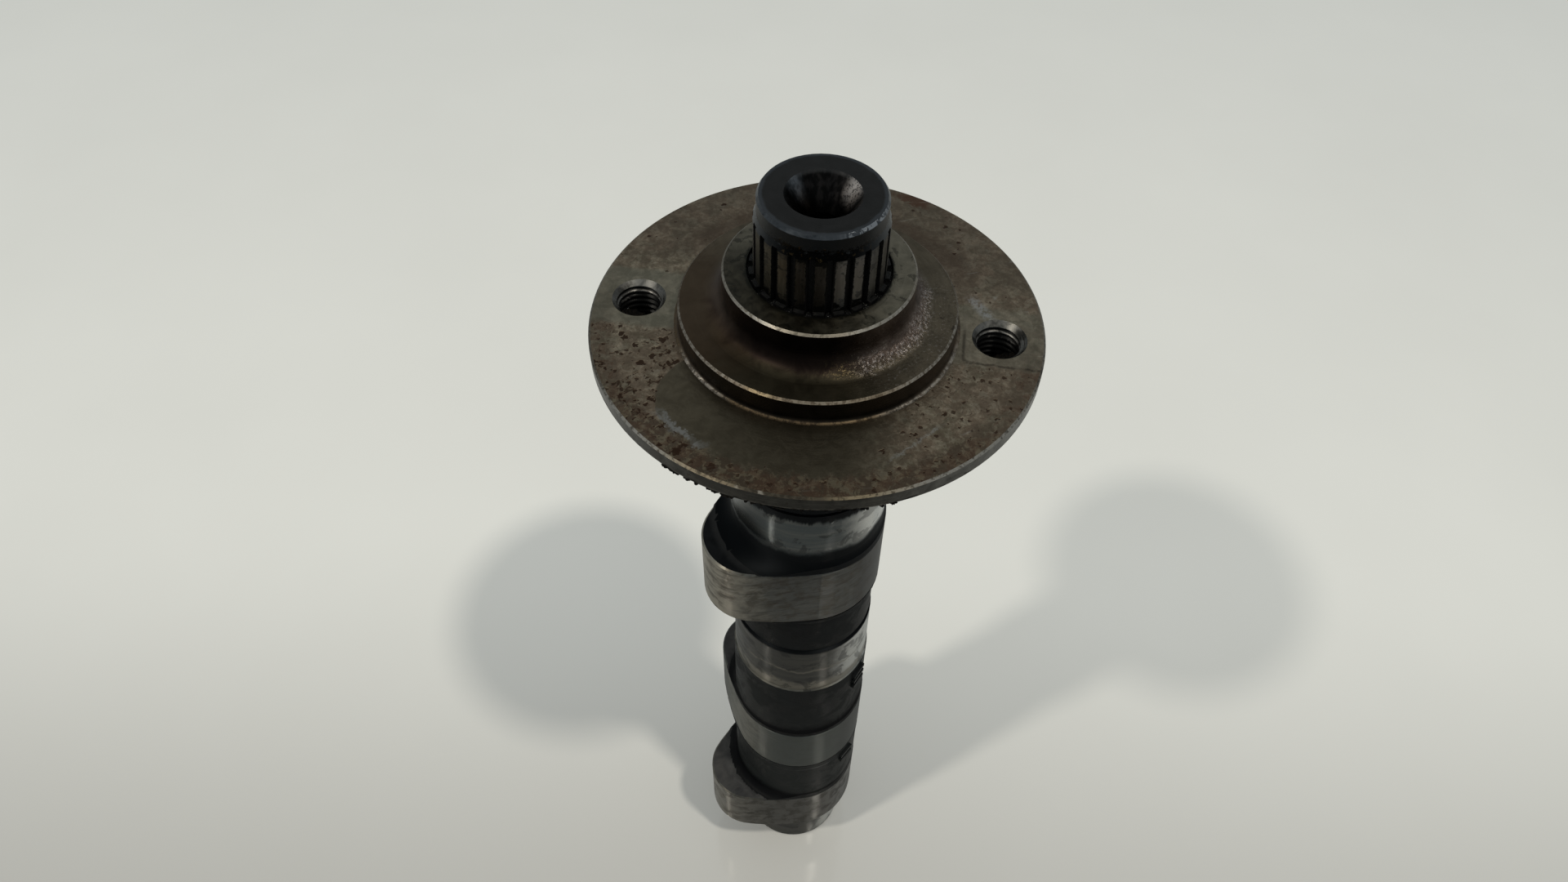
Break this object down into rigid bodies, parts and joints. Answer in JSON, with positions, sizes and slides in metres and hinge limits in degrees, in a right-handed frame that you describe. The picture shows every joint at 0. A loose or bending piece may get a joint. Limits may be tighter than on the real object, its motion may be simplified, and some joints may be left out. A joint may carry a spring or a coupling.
{
  "type": "camshaft",
  "caption": "Short camshaft with plain journals, cam lobes and a splined nose that carries a flange for bolting on a drive sprocket.",
  "frame": {"origin": "centre of the tail end face, on which the shaft stands", "axes": "+Z along the shaft toward the splined nose; the two tapped holes of the flange lie on the X axis"},
  "size_m": [0.064, 0.064, 0.1851],
  "materials": {
    "shaft_iron": "dark cast barrel with ground, oiled journals and lobes",
    "flange_steel": "turned steel with thin brown rust stains and bright worn edges"
  },
  "bodies": {
    "root": {"camshaft": "shaft_iron", "sprocket_flange": "flange_steel"}
  },
  "joints": []
}
